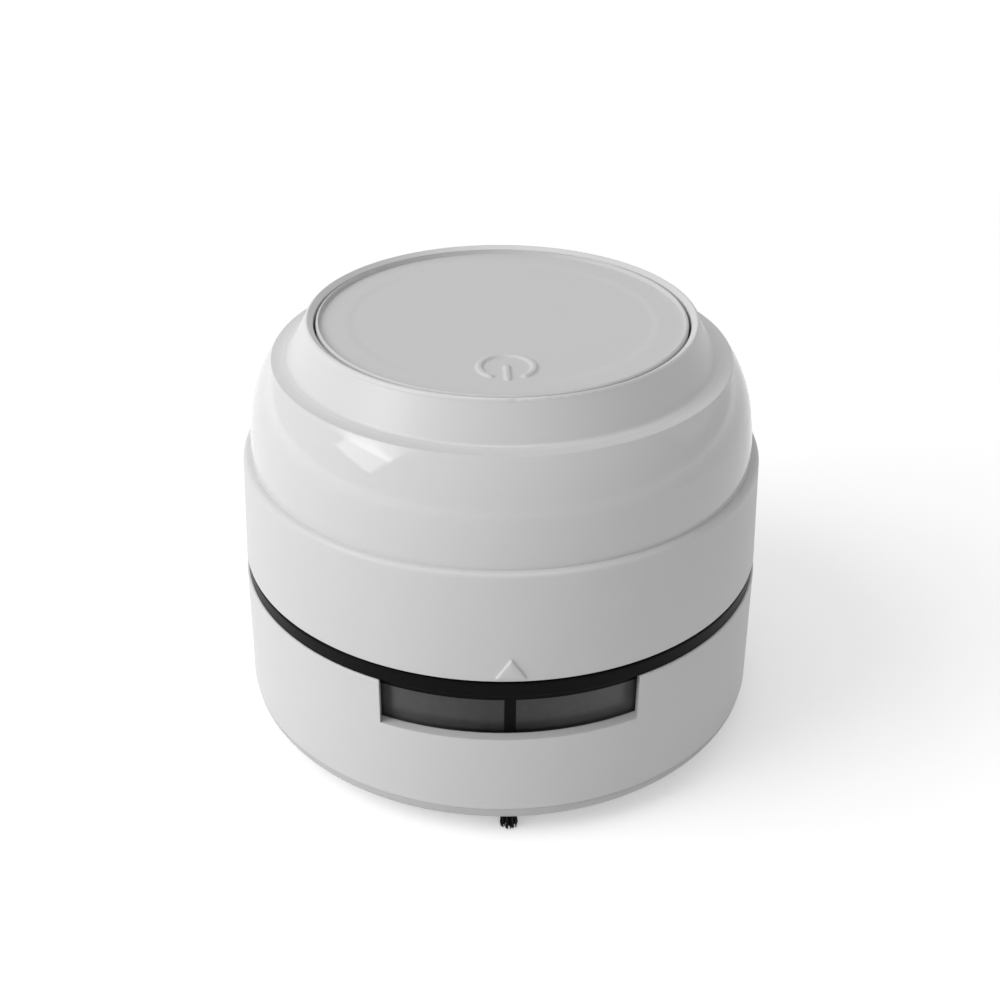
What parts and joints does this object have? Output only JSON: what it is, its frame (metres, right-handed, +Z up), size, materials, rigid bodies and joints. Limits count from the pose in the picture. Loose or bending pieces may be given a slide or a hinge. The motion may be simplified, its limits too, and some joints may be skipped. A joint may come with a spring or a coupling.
{
  "type": "desktop vacuum cleaner",
  "caption": "Round hand-sized desktop vacuum with a push-disc top, domed cover, twist-off dust cup with window, filter, fan, underside brush and rollers.",
  "frame": {"origin": "on the table under the middle of the object, where the rollers rest", "axes": "+Z up through the middle of the button, -Y towards the window and pointer, +X to the right seen from the window's side"},
  "size_m": [0.086, 0.086, 0.0685],
  "materials": {
    "shell_white": "satin",
    "band_white": "satin",
    "dome_white": "gloss",
    "button_white": "fine matte",
    "inner_white": "satin",
    "filter_white": "satin",
    "ring_black": "satin",
    "smoke_window": "smoky gloss",
    "bristle_black": "bristle",
    "roller_black": "satin",
    "screw_black": "blackened",
    "steel": "zinc plated",
    "filter_cloth": "fine mesh",
    "seal_rubber": "matte",
    "motor_steel": "drawn, zinc plated",
    "motor_cap": "moulded",
    "contact_metal": "plain",
    "battery_wrap": "shrink film",
    "board_green": "solder mask",
    "socket_steel": "drawn",
    "switch_black": "moulded",
    "spring_steel": "drawn wire",
    "plunger_white": "moulded",
    "shaft_steel": "ground",
    "fan_plastic": "moulded"
  },
  "bodies": {
    "dust_cup": {"lower_shell": "shell_white", "base_plate": "shell_white", "intake_duct": "inner_white", "window_ring": "ring_black", "window_pane": "smoke_window", "brush_holder": "ring_black", "brush_tufts": "bristle_black", "roller_axles": "steel", "base_screws": "screw_black"},
    "filter_unit": {"filter_frame": "filter_white", "filter_mesh": "filter_cloth", "filter_seal": "seal_rubber"},
    "upper_body": {"body_band": "band_white", "upper_cover": "dome_white", "motor_plate": "inner_white", "fan_shroud": "ring_black", "shroud_screws": "steel", "cover_screws": "steel", "motor_can": "motor_steel", "motor_end_cap": "motor_cap", "motor_terminals": "contact_metal", "motor_screws": "steel", "battery_cell": "battery_wrap", "battery_cradle": "inner_white", "circuit_board": "board_green", "board_screws": "steel", "usb_socket": "socket_steel", "switch_body": "switch_black", "button_springs": "spring_steel"},
    "button": {"top_button": "button_white"},
    "plunger": {"switch_plunger": "plunger_white"},
    "rotor": {"motor_shaft": "shaft_steel", "impeller": "fan_plastic"},
    "roller_front_left": {"roller_front_left": "roller_black"},
    "roller_rear_left": {"roller_rear_left": "roller_black"},
    "roller_front_right": {"roller_front_right": "roller_black"},
    "roller_rear_right": {"roller_rear_right": "roller_black"}
  },
  "joints": [
    {"name": "filter_lift", "type": "slide", "parent": "dust_cup", "child": "filter_unit", "axis": [0, 0, 1], "range_m": [0, 0.045]},
    {"name": "twist_lock", "type": "hinge", "parent": "filter_unit", "child": "upper_body", "pos_m": [0, 0, 0.03], "axis": [0, 0, -1], "range_deg": [0, 20]},
    {"name": "button_press", "type": "slide", "parent": "upper_body", "child": "button", "axis": [0, 0, -1], "range_m": [0, 0.0015], "stiffness_N_per_m": 1200, "springref_m": -0.0015, "deforming": ["button_springs"]},
    {"name": "plunger_press", "type": "slide", "parent": "upper_body", "child": "plunger", "axis": [0, 0, -1], "range_m": [0, 0.0015]},
    {"name": "fan_spin", "type": "hinge", "parent": "upper_body", "child": "rotor", "pos_m": [0, 0, 0.045], "axis": [0, 0, 1], "continuous": true},
    {"name": "roller_front_left_spin", "type": "hinge", "parent": "dust_cup", "child": "roller_front_left", "pos_m": [-0.019, -0.026, 0.0025], "axis": [0, 1, 0], "continuous": true},
    {"name": "roller_rear_left_spin", "type": "hinge", "parent": "dust_cup", "child": "roller_rear_left", "pos_m": [-0.019, 0.026, 0.0025], "axis": [0, 1, 0], "continuous": true},
    {"name": "roller_front_right_spin", "type": "hinge", "parent": "dust_cup", "child": "roller_front_right", "pos_m": [0.019, -0.026, 0.0025], "axis": [0, 1, 0], "continuous": true},
    {"name": "roller_rear_right_spin", "type": "hinge", "parent": "dust_cup", "child": "roller_rear_right", "pos_m": [0.019, 0.026, 0.0025], "axis": [0, 1, 0], "continuous": true}
  ],
  "couplings": [
    {"joint": "plunger_press", "follows": "button_press", "ratio": 1}
  ]
}
